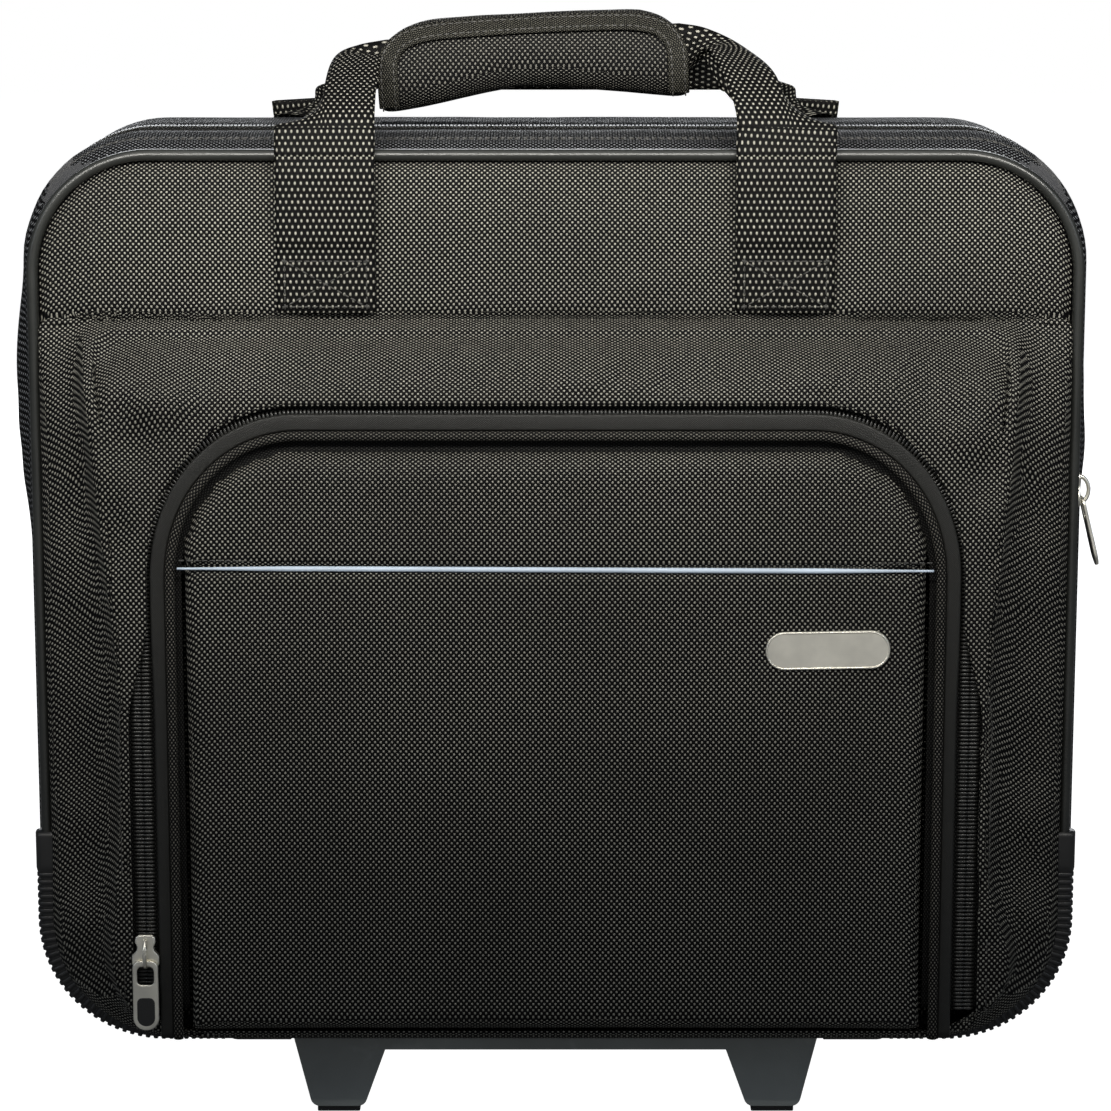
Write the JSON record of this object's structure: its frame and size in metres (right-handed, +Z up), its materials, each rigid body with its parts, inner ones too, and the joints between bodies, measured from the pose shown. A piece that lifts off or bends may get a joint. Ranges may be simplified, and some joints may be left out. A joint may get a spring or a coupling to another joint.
{
  "type": "pilot rolling flight case",
  "caption": "Soft-sided rolling flight case with a front panel that unzips, an arched front pocket, carry handles, a telescopic pull handle, wheels and a front stand.",
  "frame": {"origin": "on the floor, below the middle of the case's bounding box", "axes": "+X to the case's right as seen from the front, +Y from the front panel to the rear, +Z up"},
  "size_m": [0.4518, 0.2067, 0.4623],
  "materials": {
    "nylon": "woven",
    "lining": "matte",
    "webbing": "ribbed",
    "zip_tape": "woven",
    "board": "matte",
    "piping": "satin",
    "accent": "satin",
    "guard_rubber": "satin",
    "nickel": "satin",
    "stand_plastic": "fine texture",
    "base_plastic": "matte",
    "grip_plastic": "fine texture",
    "tube_aluminium": "satin",
    "tyre": "matte",
    "hub_plastic": "satin",
    "steel": "satin",
    "black_screw": "satin"
  },
  "bodies": {
    "case": {"case_shell": "nylon", "back_cover": "nylon", "back_board": "board", "divider_panel": "lining", "rear_piping": "piping", "shell_zip": "zip_tape", "hinge_strip": "nylon", "laptop_zip": "zip_tape", "rear_strap_left": "webbing", "rear_strap_right": "webbing", "trolley_bezel": "grip_plastic", "bezel_screws": "black_screw", "outer_tube_left": "tube_aluminium", "outer_tube_right": "tube_aluminium", "tube_bracket": "base_plastic", "base_plate": "base_plastic", "front_stand": "stand_plastic", "foot_pads": "guard_rubber", "wheel_housing_left": "base_plastic", "wheel_housing_right": "base_plastic", "kick_plate": "base_plastic", "base_screws": "black_screw", "axles": "steel"},
    "front_panel": {"front_board": "nylon", "front_piping": "piping", "panel_zip": "zip_tape", "corner_guard_left": "guard_rubber", "corner_guard_right": "guard_rubber", "front_strap_left": "webbing", "front_strap_right": "webbing", "pocket_frame": "nylon", "pocket_zip": "zip_tape", "organizer_panel": "lining"},
    "pocket_flap": {"flap_panel": "nylon", "flap_zip": "zip_tape", "flap_welt": "nylon", "accent_piping": "accent", "nameplate": "nickel"},
    "pocket_slider": {"pocket_slider": "nickel"},
    "pocket_pull": {"pocket_pull": "nickel"},
    "main_slider": {"main_slider": "nickel"},
    "main_pull": {"main_pull": "nickel"},
    "laptop_slider": {"laptop_slider": "nickel"},
    "laptop_pull": {"laptop_pull": "nickel"},
    "front_handle": {"front_handle_webbing": "webbing", "grip_wrap": "nylon"},
    "rear_handle": {"rear_handle_webbing": "webbing"},
    "trolley_stage_1": {"middle_tube_left": "tube_aluminium", "middle_tube_right": "tube_aluminium"},
    "trolley_stage_2": {"inner_tube_left": "tube_aluminium", "inner_tube_right": "tube_aluminium", "trolley_grip": "grip_plastic", "button_spring": "steel"},
    "release_button": {"release_button": "hub_plastic"},
    "wheel_left": {"tyre_left": "tyre", "hub_left": "hub_plastic", "bearings_left": "steel"},
    "wheel_right": {"tyre_right": "tyre", "hub_right": "hub_plastic", "bearings_right": "steel"}
  },
  "joints": [
    {"name": "front_panel_opening", "type": "hinge", "parent": "case", "child": "front_panel", "pos_m": [0, -0.064, 0.038], "axis": [1, 0, 0], "range_deg": [0, 48]},
    {"name": "pocket_flap_opening", "type": "hinge", "parent": "front_panel", "child": "pocket_flap", "pos_m": [0, -0.0923, 0.045], "axis": [1, 0, 0], "range_deg": [0, 40]},
    {"name": "pocket_slider_travel", "type": "slide", "parent": "pocket_flap", "child": "pocket_slider", "axis": [0, 0, 1], "range_m": [0, 0.15]},
    {"name": "pocket_pull_swing", "type": "hinge", "parent": "pocket_slider", "child": "pocket_pull", "pos_m": [-0.168, -0.0995, 0.0787], "axis": [-1, 0, 0], "range_deg": [0, 150]},
    {"name": "main_slider_travel", "type": "slide", "parent": "case", "child": "main_slider", "axis": [0, 0, 1], "range_m": [-0.15, 0.08]},
    {"name": "main_pull_swing", "type": "hinge", "parent": "main_slider", "child": "main_pull", "pos_m": [0.2169, -0.0531, 0.2637], "axis": [0, -1, 0], "range_deg": [0, 130]},
    {"name": "laptop_slider_travel", "type": "slide", "parent": "case", "child": "laptop_slider", "axis": [0, 0, 1], "range_m": [-0.14, 0.05]},
    {"name": "laptop_pull_swing", "type": "hinge", "parent": "laptop_slider", "child": "laptop_pull", "pos_m": [-0.2247, 0.014, 0.2957], "axis": [0, 1, 0], "range_deg": [0, 150]},
    {"name": "front_handle_swing", "type": "hinge", "parent": "front_panel", "child": "front_handle", "pos_m": [0, -0.0705, 0.4105], "axis": [1, 0, 0], "range_deg": [0, 200]},
    {"name": "rear_handle_swing", "type": "hinge", "parent": "case", "child": "rear_handle", "pos_m": [0, 0.0915, 0.4105], "axis": [-1, 0, 0], "range_deg": [0, 200]},
    {"name": "trolley_lower_stage", "type": "slide", "parent": "case", "child": "trolley_stage_1", "axis": [0, 0, 1], "range_m": [0, 0.27]},
    {"name": "trolley_upper_stage", "type": "slide", "parent": "trolley_stage_1", "child": "trolley_stage_2", "axis": [0, 0, 1], "range_m": [0, 0.27]},
    {"name": "release_button_press", "type": "slide", "parent": "trolley_stage_2", "child": "release_button", "axis": [0, 0, -1], "range_m": [0, 0.004], "stiffness_N_per_m": 400, "springref_m": -0.004, "deforming": ["button_spring"]},
    {"name": "wheel_left_spin", "type": "hinge", "parent": "case", "child": "wheel_left", "pos_m": [-0.168, 0.072, 0.028], "axis": [1, 0, 0], "continuous": true},
    {"name": "wheel_right_spin", "type": "hinge", "parent": "case", "child": "wheel_right", "pos_m": [0.168, 0.072, 0.028], "axis": [1, 0, 0], "continuous": true}
  ]
}
